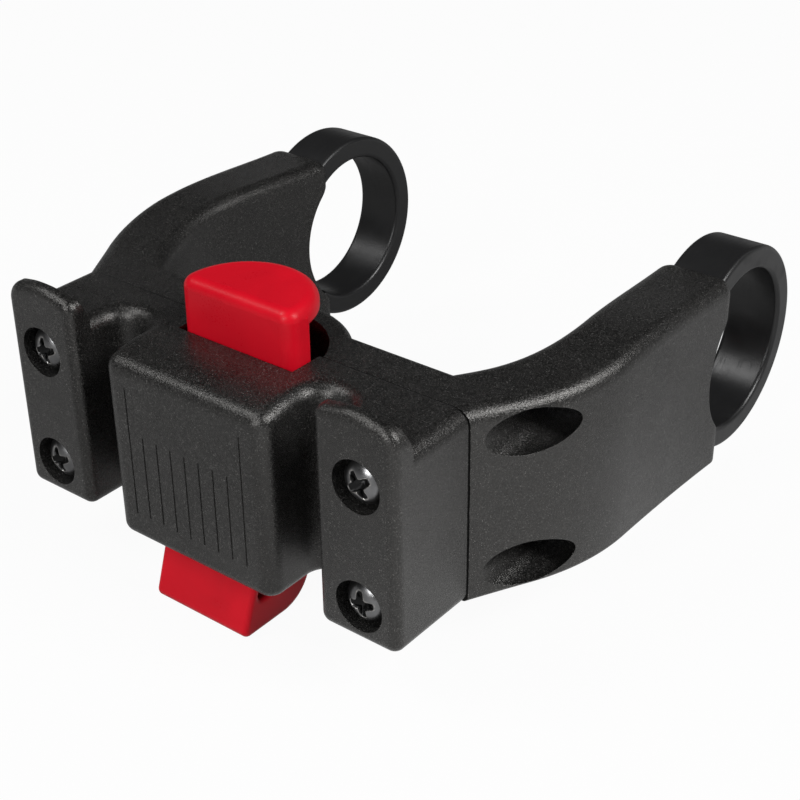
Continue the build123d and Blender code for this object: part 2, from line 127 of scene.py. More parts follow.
# Height of the direction looked in at which the pale horizon has given way to the ceiling.
HORIZON_TOP = 0.2
SENSOR_WIDTH = 36.0

# A fold sharper than this stays a hard edge on the new pieces.
HARD_EDGE = math.radians(40)


def length(name, value, description):
    """A size in metres that a user may change."""
    return FloatProperty(
        name=name,
        description=description,
        default=value,
        min=0.0,
        precision=5,
        subtype="DISTANCE",
        unit="LENGTH",
    )


def share(name, value, description):
    """A number from 0 to 1 that a user may change."""
    return FloatProperty(
        name=name, description=description, default=value, min=0.0, max=1.0, subtype="FACTOR"
    )


def angle(name, degrees, description):
    """An angle that a user may change."""
    return FloatProperty(
        name=name,
        description=description,
        default=math.radians(degrees),
        subtype="ANGLE",
        unit="ROTATION",
    )


def tint(name, value, description):
    """A linear colour that a user may change."""
    return FloatVectorProperty(
        name=name, description=description, default=value, size=3, min=0.0, max=1.0, subtype="COLOR"
    )


def watts(name, value, description):
    """A lamp's power that a user may change."""
    return FloatProperty(
        name=name, description=description, default=value, min=0.0, subtype="POWER", unit="POWER"
    )


class MouldedSettings(bpy.types.PropertyGroup):
    """Colours and skin of the moulded plastic pieces"""

    nylon: tint("Nylon", (0.003, 0.003, 0.0029), "Colour of the grained black nylon")
    nylon_fleck: tint("Nylon fleck", (0.0205, 0.02, 0.0193), "Colour of the grain's pale flecks")
    # Colour of painted glints: bright specks of painted highlight scattered over the grain.
    nylon_painted_glint: tint("Nylon glint", (0.125, 0.122, 0.117), "Colour of the grain's brightest specks")
    # Colour of settled dust, and of the painted highlight that lightens the nylon's rounded edges.
    nylon_dust_and_edge_highlight: tint("Worn nylon", (0.037, 0.0363, 0.0352), "Colour of rubbed edges and settled dust")
    nylon_rough: share("Nylon roughness", 0.26, "Middle roughness of the grained nylon")
    grain: length("Grain", 0.38 * MM, "Width of one grain of the eroded texture")
    grain_depth: length("Grain depth", 0.098 * MM, "Height of the eroded texture")
    seam: length("Seam", 0.2 * MM, "Half the width of the dark line where plate and yoke meet")
    edge: length("Edge", 0.16 * MM, "Radius to which light rounds a sharp moulded edge")
    strap: tint("Strap", (0.0102, 0.0102, 0.0106), "Colour of the smooth clamp straps")
    strap_rough: share("Strap roughness", 0.34, "Middle roughness of the straps")
    red: tint("Red", (0.55, 0.0035, 0.0135), "Colour of the release slide")
    red_deep: tint("Deep red", (0.38, 0.0028, 0.0097), "Colour of the slide in its flow marks")
    red_rough: share("Red roughness", 0.36, "Middle roughness of the release slide")


class HardwareSettings(bpy.types.PropertyGroup):
    """Colours and sizes of the screws, their nuts and inserts, and the spring"""

    black_steel: tint("Black steel", (0.2, 0.2, 0.203), "Colour of the blackened plate screws")
    black_rough: share("Black steel roughness", 0.31, "Middle roughness of the plate screws")
    bare_steel: tint("Bare steel", (0.52, 0.50, 0.47), "Colour where the driver has rubbed the finish off")
    zinc: tint("Zinc", (0.50, 0.51, 0.53), "Colour of the plated clamp screws and nuts")
    zinc_rough: share("Zinc roughness", 0.34, "Middle roughness of the clamp screws and nuts")
    brass: tint("Brass", (0.72, 0.50, 0.20), "Colour of the threaded inserts")
    brass_rough: share("Brass roughness", 0.3, "Middle roughness of the threaded inserts")
    spring_steel: tint("Spring steel", (0.42, 0.41, 0.40), "Colour of the return spring")
    spring_rough: share("Spring roughness", 0.26, "Middle roughness of the return spring")
    seat: length("Seat", 3.4 * MM, "Depth of a pan head's underside behind the front of its solid")
    head_rise: length("Head height", 3.85 * MM, "Height of a pan head at the top of its dome")
    dome: length("Dome", 6.5 * MM, "Radius of the ball that a pan head's top is part of")
    shoulder: length("Shoulder", 0.8 * MM, "Height by which a pan head's rim rounds down from that ball")
    cross_span: length("Recess span", 5.7 * MM, "Length of the cross recess from tip to tip")
    cross_width: length("Recess width", 1.75 * MM, "Width of one arm of the cross recess")
    cross_depth: length("Recess depth", 2.2 * MM, "Depth of the cross recess at its middle")
    cap_rise: length("Cap height", 5.0 * MM, "Height of the clamp screws' socket heads")
    socket_flats: length("Socket", 4.0 * MM, "Width across the flats of the hexagon socket")
    socket_depth: length("Socket depth", 2.6 * MM, "Depth of the hexagon socket")
    pitch: length("Thread pitch", 0.8 * MM, "Distance from one thread to the next")
    thread_depth: length("Thread depth", 0.42 * MM, "Height of a thread above its core")
    shank: length("Shank", 2.5 * MM, "Outer radius of the threads")
    wire: length("Spring wire", 0.5 * MM, "Radius of the return spring's wire")
    coils: IntProperty(name="Coils", description="Open turns of the return spring", default=7, min=2)
    press: length("Press", TRAVEL, "Travel of the release button")


class StageSettings(bpy.types.PropertyGroup):
    """Floor, light and camera of the studio"""

    floor: tint("Floor", (0.56, 0.56, 0.56), "Colour of the studio floor")
    floor_glow: share("Floor glow", 0.95, "Share of the floor that shows as plain white, over its shadow")
    gloss_left: share("Gloss left", 0.43, "Brightness of the floor left of the object, as gloss sees it")
    gloss_right: share("Gloss right", 0.98, "Brightness of the floor right of the object, as gloss sees it")
    gloss_rear: share("Gloss rear", 0.45, "Share of that brightness which is left behind the object")
    horizon: share("Horizon", 0.45, "Brightness of the room near the horizon")
    ceiling: share("Ceiling", 0.036, "Brightness of the room overhead")
    front: watts("Front", 8.6, "Power of the low lamp before the plate, which lights the rounded edges")
    overhead: watts("Overhead", 6.6, "Power of the lamp above")
    side: watts("Side", 15.5, "Power of the lamp on the right")
    rear: watts("Rear", 0.6, "Power of the lamp behind")
    azimuth: angle("Azimuth", 38.4143, "Turn of the camera round the object")
    elevation: angle("Elevation", 29.9851, "Height angle of the camera")
    roll: angle("Roll", 0.5994, "Tilt of the camera about its own axis")
    place: FloatVectorProperty(
        name="Place",
        description="Place of the camera",
        default=(0.19238, -0.28568, 0.16404),
        size=3,
        precision=5,
        subtype="XYZ",
        unit="LENGTH",
    )
    lens: FloatProperty(
        name="Lens",
        description="Focal length of the camera",
        default=71.0,
        min=1.0,
        subtype="DISTANCE_CAMERA",
        unit="CAMERA",
    )


class BagMountSettings(bpy.types.PropertyGroup):
    """All settings of the bag mount"""

    moulded: PointerProperty(type=MouldedSettings)
    hardware: PointerProperty(type=HardwareSettings)
    stage: PointerProperty(type=StageSettings)


class NodeBench:
    """One material's nodes, with short ways to add and join them."""

    def __init__(self, name):
        self.material = bpy.data.materials.new(name)
        self.material.use_nodes = True
        self.tree = self.material.node_tree
        self.surface = self.tree.nodes["Principled BSDF"]
        self.count = 0

    def add(self, kind, settings=None, **sockets):
        """Adds a node; a socket, by its name or as _ and its number, gets a value or an output."""
        node = self.tree.nodes.new(kind)
        node.location = (-220 * (1 + self.count % 6), 320 - 260 * (self.count // 6))
        self.count += 1
        for key, value in (settings or {}).items():
            setattr(node, key, value)
        for key, value in sockets.items():
            self.put(node.inputs[int(key[1:]) if key[1:].isdigit() else key.replace("_", " ")], value)
        return node

    def put(self, socket, value):
        """Joins an output to a socket, or writes a plain value on it."""
        if isinstance(value, bpy.types.NodeSocket):
            self.tree.links.new(value, socket)
        else:
            socket.default_value = value

    def shade(self, **sockets):
        """Sets the surface shader's own sockets."""
        for key, value in sockets.items():
            self.put(self.surface.inputs[key.replace("_", " ")], value)

    def where(self):
        """Object coordinates, in metres."""
        return self.add("ShaderNodeTexCoord").outputs["Object"]

    def noise(self, at, scale, detail=2.0, rough=0.5, distortion=0.0):
        """Cloudy noise; scale is the number of lumps in a metre."""
        node = self.add(
            "ShaderNodeTexNoise",
            Vector=at,
            Scale=scale,
            Detail=detail,
            Roughness=rough,
            Distortion=distortion,
        )
        return node.outputs["Fac"]

    def remap(self, value, low, high, to_low=0.0, to_high=1.0):
        """Carries the range low to high onto to_low to to_high, and holds it there."""
        node = self.add(
            "ShaderNodeMapRange", Value=value, From_Min=low, From_Max=high, To_Min=to_low, To_Max=to_high
        )
        return node.outputs["Result"]

    def math(self, operation, a, b=0.0):
        """One sum on two numbers."""
        return self.add("ShaderNodeMath", {"operation": operation}, _0=a, _1=b).outputs["Value"]

    def blend(self, factor, a, b):
        """Colour a at factor 0, colour b at factor 1, and a mix between."""
        node = self.add("ShaderNodeMix", {"data_type": "RGBA"}, _0=factor)
        for index, value in ((6, a), (7, b)):
            self.put(node.inputs[index], value if isinstance(value, bpy.types.NodeSocket) else (*value, 1.0))
        return node.outputs[2]

    def rounded(self, radius):
        """The normal that rounds sharp edges to a radius, and how far it leans from the face."""
        soft = self.add("ShaderNodeBevel", {"samples": 6}, Radius=radius).outputs["Normal"]
        face = self.add("ShaderNodeNewGeometry").outputs["Normal"]
        product = self.add("ShaderNodeVectorMath", {"operation": "DOT_PRODUCT"}, _0=soft, _1=face)
        return soft, self.remap(product.outputs["Value"], EDGE_BEGINS, EDGE_FULL)

    def bump(self, height, distance, normal=None):
        """Raises the surface by a height from 0 to 1 times a distance."""
        node = self.add("ShaderNodeBump", Strength=1.0, Distance=distance, Height=height)
        if normal is not None:
            self.put(node.inputs["Normal"], normal)
        return node.outputs["Normal"]


def nylon_finish(look):
    """Glass-filled black nylon off an eroded mould: a fine grain with painted glints, settled dust, rounded
    edges lightened as a painted highlight, and a dark seam.
    """
    bench = NodeBench("black_nylon_grained")
    at = bench.where()
    grain = bench.noise(at, 1.0 / look.grain, 2.5, 0.62)
    fine = bench.noise(at, 2.6 / look.grain, 1.0, 0.5)
    broad = bench.noise(at, 70.0, 3.0, 0.6)
    soft, lean = bench.rounded(look.edge)
    # Painted highlight: rounded edges are lightened towards the dust colour, more in some places than
    # others.
    painted_edge_highlight = bench.math("MULTIPLY", lean, bench.remap(broad, 0.42, 0.66, 0.15, 0.8))
    dust = bench.remap(bench.noise(at, 26.0, 5.0, 0.7), 0.5, 0.78, 0.0, 0.22)
    dust_and_edge_highlight = bench.math("MAXIMUM", painted_edge_highlight, dust)
    flecked = bench.blend(bench.remap(grain, 0.42, 0.66), look.nylon, look.nylon_fleck)
    # Painted glints: scattered specks of painted highlight in the grain.
    painted_glint = bench.remap(bench.noise(at, 1.7 / look.grain, 1.0, 0.5), 0.64, 0.74)
    colour = bench.blend(painted_glint, bench.blend(dust_and_edge_highlight, flecked, look.nylon_dust_and_edge_highlight), look.nylon_painted_glint)
    along = bench.add("ShaderNodeSeparateXYZ", Vector=at).outputs["Y"]
    wander = bench.remap(bench.noise(at, 260.0, 2.0), 0.3, 0.7, -0.3 * look.seam, 0.3 * look.seam)
    off = bench.math("ABSOLUTE", bench.math("SUBTRACT", bench.math("ADD", along, wander), JOINT_Y))
    seam = bench.remap(off, 0.6 * look.seam, 1.3 * look.seam, 1.0, 0.0)
    raised = bench.math("ADD", grain, bench.math("MULTIPLY", fine, 0.35))
    raised = bench.math("SUBTRACT", raised, bench.math("MULTIPLY", seam, 3.0))
    bench.shade(
        Base_Color=bench.blend(seam, colour, SEAM_DARK),
        Roughness=bench.math(
            "ADD",
            bench.remap(broad, 0.3, 0.7, look.nylon_rough - 0.05, look.nylon_rough + 0.05),
            bench.remap(fine, 0.35, 0.65, -0.06, 0.06),
        ),
        Specular_IOR_Level=bench.remap(seam, 0.0, 1.0, 0.5, 0.07),
        Specular_Tint=(1.0, 0.98, 0.95, 1.0),
        Normal=bench.bump(raised, look.grain_depth, soft),
    )
    return bench.material


def strap_finish(look):
    """Smooth black strap plastic: semi-gloss, with faint flow marks and hairline scratches."""
    bench = NodeBench("black_strap_smooth")
    at = bench.where()
    flow = bench.noise(at, 90.0, 4.0, 0.6, 0.4)
    stretched = bench.add("ShaderNodeMapping", Vector=at, Scale=(2600.0, 120.0, 120.0)).outputs["Vector"]
    hair = bench.remap(bench.noise(stretched, 1.0, 1.0), 0.6, 0.7)
    soft, lean = bench.rounded(0.3 * MM)
    raised = bench.math("ADD", flow, bench.math("MULTIPLY", hair, 0.05))
    bench.shade(
        # The strap's colour is lighter along its rounded edges.
        Base_Color=bench.blend(bench.math("MULTIPLY", lean, 0.5), look.strap, STRAP_EDGE_LIGHTER),
        Roughness=bench.math(
            "ADD",
            bench.remap(flow, 0.3, 0.7, look.strap_rough - 0.06, look.strap_rough + 0.07),
            bench.math("MULTIPLY", hair, 0.1),
        ),
        Specular_IOR_Level=0.4,
        Normal=bench.bump(raised, 0.05 * MM, soft),
    )
    return bench.material


def red_finish(look):
    """Satin red plastic: through-coloured, with an even fine skin and slightly scuffed edges."""
    bench = NodeBench("red_satin")
    at = bench.where()
    flow = bench.noise(at, 60.0, 3.0, 0.55, 0.6)
    skin = bench.noise(at, 2400.0, 2.0, 0.55)
    soft, lean = bench.rounded(0.4 * MM)
    dyed = bench.blend(bench.remap(flow, 0.62, 0.3, 0.0, 0.45), look.red, look.red_deep)
    scuff = bench.math("MULTIPLY", lean, bench.remap(bench.noise(at, 420.0, 3.0), 0.48, 0.7, 0.0, 0.35))
    bench.shade(
        Base_Color=bench.blend(scuff, dyed, RED_SCUFFED),
        Roughness=bench.math(
            "ADD",
            bench.remap(flow, 0.3, 0.7, look.red_rough - 0.05, look.red_rough + 0.06),
            bench.remap(skin, 0.35, 0.65, -0.05, 0.05),
        ),
        Specular_IOR_Level=0.16,
        Normal=bench.bump(skin, 0.008 * MM, soft),
    )
    return bench.material


def metal_finish(name, colour, bare, roughness):
    """Turned or plated metal with fine tool marks.

    Where the wear attribute is above nought the finish is rubbed off; below nought it darkens the colour
    towards near black as painted shade, the shade in a screw's recess.
    """
    bench = NodeBench(name)
    at = bench.where()
    cloud = bench.noise(at, 420.0, 3.0, 0.6)
    marks = bench.noise(at, 2700.0, 2.0, 0.6)
    wear = bench.add("ShaderNodeAttribute", {"attribute_name": "wear"}).outputs["Fac"]
    chips = bench.math("MULTIPLY", wear, bench.remap(bench.noise(at, 1500.0, 3.0, 0.7), 0.38, 0.62))
    dull_and_shaded = bench.blend(bench.remap(cloud, 0.35, 0.7, 0.0, 0.5), colour, [0.55 * c for c in colour])
    # Painted shade: where the wear attribute is below nought, as in a screw's recess, the colour is darkened
    # towards near black.
    dull_and_shaded = bench.blend(bench.remap(wear, -0.1, -0.9, 0.0, 0.92), dull_and_shaded, PAINTED_RECESS_SHADE)
    bench.shade(
        Base_Color=bench.blend(chips, dull_and_shaded, bare),
        Metallic=1.0,
        Roughness=bench.remap(cloud, 0.3, 0.7, roughness - 0.07, roughness + 0.1),
        Normal=bench.bump(marks, 0.01 * MM),
    )
    return bench.material


def directions(count):
    """Even directions round a circle."""
    return np.arange(count) * (2 * math.pi / count)


def column(*values):
    """Numbers one below the other, each to be spread over a row of directions."""
    return np.array(values)[:, None]


def skin_rings(name, rings, start, end, wear=None):
    """Closed mesh over rings of points.

    The rings are rows by columns by 3. Each row joins the next by quads that wrap round the columns,
    and a fan closes each end on one point. Wear and painted shade, rows by columns, are kept as an
    attribute.
    """
    rows, cols, _ = rings.shape
    points = np.concatenate([[start], rings.reshape(-1, 3), [end]])
    here = 1 + np.arange(rows * cols).reshape(rows, cols)
    beside = np.roll(here, -1, axis=1)
    quads = np.stack([here[:-1], here[1:], beside[1:], beside[:-1]], axis=-1).reshape(-1, 4)
    first = np.stack([np.zeros(cols, int), here[0], beside[0]], axis=-1)
    last = np.stack([np.full(cols, rows * cols + 1), beside[-1], here[-1]], axis=-1)
    mesh = bpy.data.meshes.new(name)
    mesh.from_pydata(points.tolist(), [], quads.tolist() + first.tolist() + last.tolist())
    mesh.polygons.foreach_set("use_smooth", np.ones(len(mesh.polygons), bool))
    if wear is not None:
        values = np.concatenate([[0.0], wear.ravel(), [0.0]]).astype(np.float32)
        mesh.attributes.new("wear", "FLOAT", "POINT").data.foreach_set("value", values)
    mesh.set_sharp_from_angle(angle=HARD_EDGE)
    mesh.validate()
    piece = bpy.data.objects.new(name, mesh)
    bpy.context.scene.collection.objects.link(piece)
    return piece


def cross_edge(turn, around, span, width):
    """Distance from the middle to the edge of a cross, by direction.

    Each arm is a superellipse, half a span long and half a width wide, whose power squares its tip.
    The cross adds up a power of the two arms' distances and takes its root, which rounds its inner corners.
    """
    c, s = np.abs(np.cos(around - turn)), np.abs(np.sin(around - turn))
    one = ((2 * c / span) ** ARM_POWER + (2 * s / width) ** ARM_POWER) ** (-1 / ARM_POWER)
    two = ((2 * s / span) ** ARM_POWER + (2 * c / width) ** ARM_POWER) ** (-1 / ARM_POWER)
    return (one**JOIN_POWER + two**JOIN_POWER) ** (1 / JOIN_POWER)


def hexagon_edge(around, flats):
    """Distance from the middle to the edge of a hexagon, by direction.

    It is half the flats over the cosine of the angle from the nearest flat's middle.
    """
    return 0.5 * flats / np.cos((around + math.pi / 6) % (math.pi / 3) - math.pi / 6)


def shank_rings(around, kit, shank_length):
    """Threaded shank below a head, as radius and height by rows and columns.

    The radius is the core plus a rounded ridge that climbs one pitch a turn:
    the ridge is a cosine of the height over the pitch less the turn, cut flat at its crest and its root.
    It fades out under the head and at the tip, which ends in a short cone.
    """
    rows_per_pitch = 6
    clear_of_head = 0.05 * MM
    fade_in = 1.2 * MM
    fade_out = 1.0 * MM
    cone_length = 0.8 * MM
    cone_cut = 0.6 * MM
    count = int(rows_per_pitch * shank_length / kit.pitch)
    z = np.linspace(-clear_of_head, -shank_length, count)[:, None] + 0 * around[None, :]
    ridge = np.clip(0.5 + 0.75 * np.cos(2 * math.pi * z / kit.pitch - around), 0, 1)
    fade = np.clip(-z / fade_in, 0, 1) * np.clip((z + shank_length) / fade_out, 0, 1)
    cone = np.clip((z + shank_length) / cone_length, 0, 1) - 1
    return kit.shank - kit.thread_depth * (1 - ridge * fade) + cone_cut * cone, z


def pan_screw(name, node, kit, turn):
    """Pan-head screw with a cross recess, in the place of its solid.

    Rings run out from the recess's floor, up its wall, over the dome, down the side and along the thread.
    A ring's radius goes from the cross's own edge to the head's circle, so the recess keeps a clean outline.
    The dome is a ball whose rim rounds down by a shoulder.
    The recess's floor falls in a cone to its middle, and directions are shifted by a sine
    of four waves to the turn, so that more of them fall on the arms of the cross.
    """
    low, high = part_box(node)
    head = 0.5 * (high.x - low.x)
    top = kit.head_rise
    even = directions(112)
    around = even - 0.6 * np.sin(4 * even) / 4 + turn
    edge = cross_edge(turn, around, kit.cross_span, kit.cross_width)[None, :]
    flat = np.ones_like(edge)
    rim_power = 8
    floor_rise = 0.72
    wall_lean = 0.16 * MM
    lip_out = column(-0.035, 0.06, 0.2) * MM
    lip_drop = column(0.13, 0.035, 0.0) * MM
    under = 0.25 * MM
    neck = kit.shank + 0.2 * MM

    def dome(r):
        rim = 1 - np.sqrt(1 - np.clip(r / head, 0, 1) ** rim_power)
        return top - (kit.dome - np.sqrt(kit.dome**2 - r**2)) - kit.shoulder * rim

    def floor(r):
        return top - kit.cross_depth * (1 - floor_rise * 2 * r / kit.cross_span)

    basin = (edge - wall_lean) * column(0.25, 0.55, 0.85, 1.0)
    lip = edge + lip_out
    lip_z = dome(lip) - lip_drop
    out = np.sin(np.linspace(0.06, 1, 12) * math.pi / 2)[:, None]
    crown = lip[-1:] * (1 - out) + head * out
    side = column(head, head, head - under, neck) * flat
    side_z = column(0.6 * dome(head), 0.2 * MM, 0, 0) * flat
    thread, thread_z = shank_rings(around, kit, high.y - low.y - kit.seat)
    radius = np.concatenate([basin, lip, crown, side, thread])
    height = np.concatenate([floor(basin), lip_z, dome(crown), side_z, thread_z])
    wear = np.zeros_like(radius)
    # The recess's floor and walls are marked below nought, for painted shade that darkens them; the lip is
    # rubbed bare by the driver.
    wear[: len(basin)] = -1.0
    wear[len(basin) : len(basin) + len(lip)] = column(0.3, 1.0, 0.45)
    return place_screw(name, node, radius, around, height, floor(0.0), wear, kit.seat)


def socket_screw(name, node, kit, turn):
    """Socket-head screw with a hexagon socket and a knurled side, in the place of its solid.

    Rings run as on the pan-head screw, from the hexagon's edge to the head's circle.
    The knurl takes a small cosine of the direction, forty to the turn, off the side's radius.
    """
    low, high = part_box(node)
    head = 0.5 * (high.x - low.x)
    top = kit.cap_rise
    around = directions(240) + turn
    edge = hexagon_edge(around - turn, kit.socket_flats)[None, :]
    flat = np.ones_like(edge)
    knurl_depth = 0.09 * MM
    knurl = knurl_depth * (0.5 - 0.5 * np.cos(40 * around))[None, :]
    chamfer = 0.2 * MM
    basin = column(0.5, 1.0) * edge
    basin_z = top - kit.socket_depth - column(0.35, 0.0) * MM * flat
    lip = np.concatenate([edge, edge + chamfer])
    lip_z = top - column(chamfer, 0.0) * flat
    crown = column(head - 0.9 * MM, head - 0.45 * MM) * flat
    crown_z = top * np.ones_like(crown)
    rim, foot = head - 0.12 * MM - knurl * 0.4, head - 0.3 * MM * flat
    side = np.concatenate([rim, head - knurl, head - knurl, foot])
    side_z = column(top - 0.18 * MM, top - 0.5 * MM, 0.6 * MM, 0.0) * flat
    thread, thread_z = shank_rings(around, kit, high.y - low.y - top)
    radius = np.concatenate([basin, lip, crown, side, thread])
    height = np.concatenate([basin_z, lip_z, crown_z, side_z, thread_z])
    middle = top - kit.socket_depth - 0.7 * MM
    wear = np.zeros_like(radius)
    wear[len(basin) : len(basin) + len(lip)] = 0.6
    return place_screw(name, node, radius, around, height, middle, wear, top)


def place_screw(name, node, radius, around, height, middle, wear, depth):
    """Turns rings that stand head up so that the head looks to the front, on the solid's own axis."""
    low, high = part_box(node)
    x, z = 0.5 * (low.x + high.x), 0.5 * (low.z + high.z)
    seat = low.y + depth
    rings = np.stack([x + radius * np.cos(around), seat - height, z + radius * np.sin(around)], axis=-1)
    piece = skin_rings(name, rings, (x, seat - middle, z), (x, high.y, z), wear)
    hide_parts(node)
    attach(piece, "mount")
    return piece


def coil_spring(name, node, kit):
    """Compression spring of round wire with closed ends, in the place of its solid.

    The wire's middle goes round a circle while its height rises: slowly over the first and last turn,
    which lie against the next, and evenly between, with the bends smoothed by a running mean.
    A circle of the wire's radius is carried along it, standing on the direction out from the axis.
    """
    low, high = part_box(node)
    x, y = 0.5 * (low.x + high.x), 0.5 * (low.y + high.y)
    tall = high.z - low.z
    radius = 0.5 * (high.x - low.x) - kit.wire
    turns = kit.coils + 2
    steps_per_turn = 48
    t = np.linspace(0, turns, steps_per_turn * turns)
    # A closed turn climbs by a little more than the wire's own thickness.
    closed = 2.04 * kit.wire
    climb = tall - 2 * kit.wire
    rise = np.interp(t, [0, 1, turns - 1, turns], [0, closed, climb - closed, climb])
    half_window = 12
    window = 2 * half_window + 1
    soft = np.convolve(np.pad(rise, half_window, mode="edge"), np.ones(window) / window, mode="valid")
    z = low.z + kit.wire + soft
    phase = 2 * math.pi * t
    out = np.stack([np.cos(phase), np.sin(phase), 0 * t], axis=-1)
    path = np.stack([x + radius * np.cos(phase), y + radius * np.sin(phase), z], axis=-1)
    run = np.gradient(path, axis=0)
    run /= np.linalg.norm(run, axis=1, keepdims=True)
    up = np.cross(run, out)
    around = directions(18)[None, :, None]
    rings = path[:, None] + kit.wire * (np.cos(around) * out[:, None] + np.sin(around) * up[:, None])
    piece = skin_rings(name, rings, path[0], path[-1])
    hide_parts(node)
    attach(piece, "mount")
    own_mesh(piece)
    return piece


def paint(piece, material):
    """Puts one material on all of a piece, and gives a new piece a slot for it."""
    if not piece.data.materials:
        piece.data.materials.append(material)
    for index in range(len(piece.data.materials)):
        piece.data.materials[index] = material


class BAGMOUNT_OT_body(bpy.types.Operator):
    """Give the front plate and the yoke their grained nylon"""

    bl_idname = "bag_mount.body"
    bl_label = "Moulded Body"

    def execute(self, context):
        nylon = nylon_finish(context.scene.bag_mount.moulded)
        for node in ("front_plate", "yoke"):
            paint(frame["nodes"][node], nylon)
        return {"FINISHED"}


class BAGMOUNT_OT_straps(bpy.types.Operator):
    """Give the two clamp straps their smooth black plastic"""

    bl_idname = "bag_mount.straps"
    bl_label = "Clamp Straps"

    def execute(self, context):
        smooth = strap_finish(context.scene.bag_mount.moulded)
        for hand in ("left", "right"):
            paint(frame["nodes"]["clamp_strap_" + hand], smooth)
        return {"FINISHED"}


class BAGMOUNT_OT_slide(bpy.types.Operator):
    """Give the release slide its satin red plastic"""

    bl_idname = "bag_mount.slide"
    bl_label = "Release Slide"

    def execute(self, context):
        paint(frame["nodes"]["release_slide"], red_finish(context.scene.bag_mount.moulded))
        return {"FINISHED"}


class BAGMOUNT_OT_plate_screws(bpy.types.Operator):
    """Make the four pan-head screws that hold the plate on the yoke"""

    bl_idname = "bag_mount.plate_screws"
    bl_label = "Plate Screws"

    def execute(self, context):
        kit = context.scene.bag_mount.hardware
        black = metal_finish("black_steel_rubbed", kit.black_steel, kit.bare_steel, kit.black_rough)
        for place, turn in zip(PLACES, PLATE_SCREW_TURNS):
            node = "plate_screw_" + place
            paint(pan_screw(node + "_threaded", node, kit, math.radians(turn)), black)
        return {"FINISHED"}


class BAGMOUNT_OT_clamp_hardware(bpy.types.Operator):
    """Make the four socket-head clamp screws, and finish their nuts and the threaded inserts"""

    bl_idname = "bag_mount.clamp_hardware"
    bl_label = "Clamp Hardware"

    def execute(self, context):
        kit = context.scene.bag_mount.hardware
        zinc = metal_finish("zinc_plated_steel", kit.zinc, kit.bare_steel, kit.zinc_rough)
        brass = metal_finish("turned_brass", kit.brass, kit.brass, kit.brass_rough)
        for place, turn in zip(PLACES, CLAMP_SCREW_TURNS):
            node = "clamp_screw_" + place
            paint(socket_screw(node + "_threaded", node, kit, math.radians(turn)), zinc)
            paint(frame["nodes"]["clamp_nut_" + place], zinc)
            paint(frame["nodes"]["plate_insert_" + place], brass)
        return {"FINISHED"}


class BAGMOUNT_OT_spring(bpy.types.Operator):
    """Wind the return spring under the release button"""

    bl_idname = "bag_mount.spring"
    bl_label = "Return Spring"

    def execute(self, context):
        kit = context.scene.bag_mount.hardware
        colour = kit.spring_steel
        steel = metal_finish("spring_steel_drawn", colour, colour, kit.spring_rough)
        paint(coil_spring("return_spring_wound", "return_spring", kit), steel)
        return {"FINISHED"}


def floor_finish(stage):
    """Matt paper with a barely visible tooth, most of it plain white to the eye.

    Gloss sees a brightness that rises from left to right and falls off behind the object.
    """
    bench = NodeBench("studio_paper")
    at = bench.where()
    tooth = bench.noise(at, 900.0, 2.0)
    bench.shade(
        Base_Color=(*stage.floor, 1.0),
        Roughness=bench.remap(tooth, 0.3, 0.7, 0.85, 0.95),
        Specular_IOR_Level=0.2,
        Normal=bench.bump(tooth, 0.01 * MM),
    )
    spot = bench.add("ShaderNodeSeparateXYZ", Vector=at).outputs
    sheen = bench.math(
        "MULTIPLY",
        bench.remap(spot["X"], *GLOSS_ACROSS, stage.gloss_left, stage.gloss_right),
        bench.remap(spot["Y"], *GLOSS_REAR, 1.0, stage.gloss_rear),
    )
    ray = bench.add("ShaderNodeLightPath").outputs
    plain = bench.math("MAXIMUM", ray["Is Camera Ray"], ray["Is Transmission Ray"])
    seen = bench.math("MAXIMUM", bench.math("MULTIPLY", plain, stage.floor_glow), ray["Is Glossy Ray"])
    strength = bench.remap(ray["Is Glossy Ray"], 0.0, 1.0, 1.0, sheen)
    white = bench.add("ShaderNodeEmission", Strength=strength).outputs["Emission"]
    paper = bench.surface.outputs["BSDF"]
    mixed = bench.add("ShaderNodeMixShader", _0=seen, _1=paper, _2=white)
    bench.put(bench.tree.nodes["Material Output"].inputs["Surface"], mixed.outputs["Shader"])
    return bench.material


def add_lamp(name, place, target, size, power):
    """Square soft lamp that looks at a point."""
    lamp = bpy.data.lights.new(name, "AREA")
    lamp.size = size
    lamp.energy = power
    holder = bpy.data.objects.new(name, lamp)
    holder.location = place
    holder.rotation_euler = (Vector(target) - Vector(place)).to_track_quat("-Z", "Y").to_euler()
    bpy.context.scene.collection.objects.link(holder)


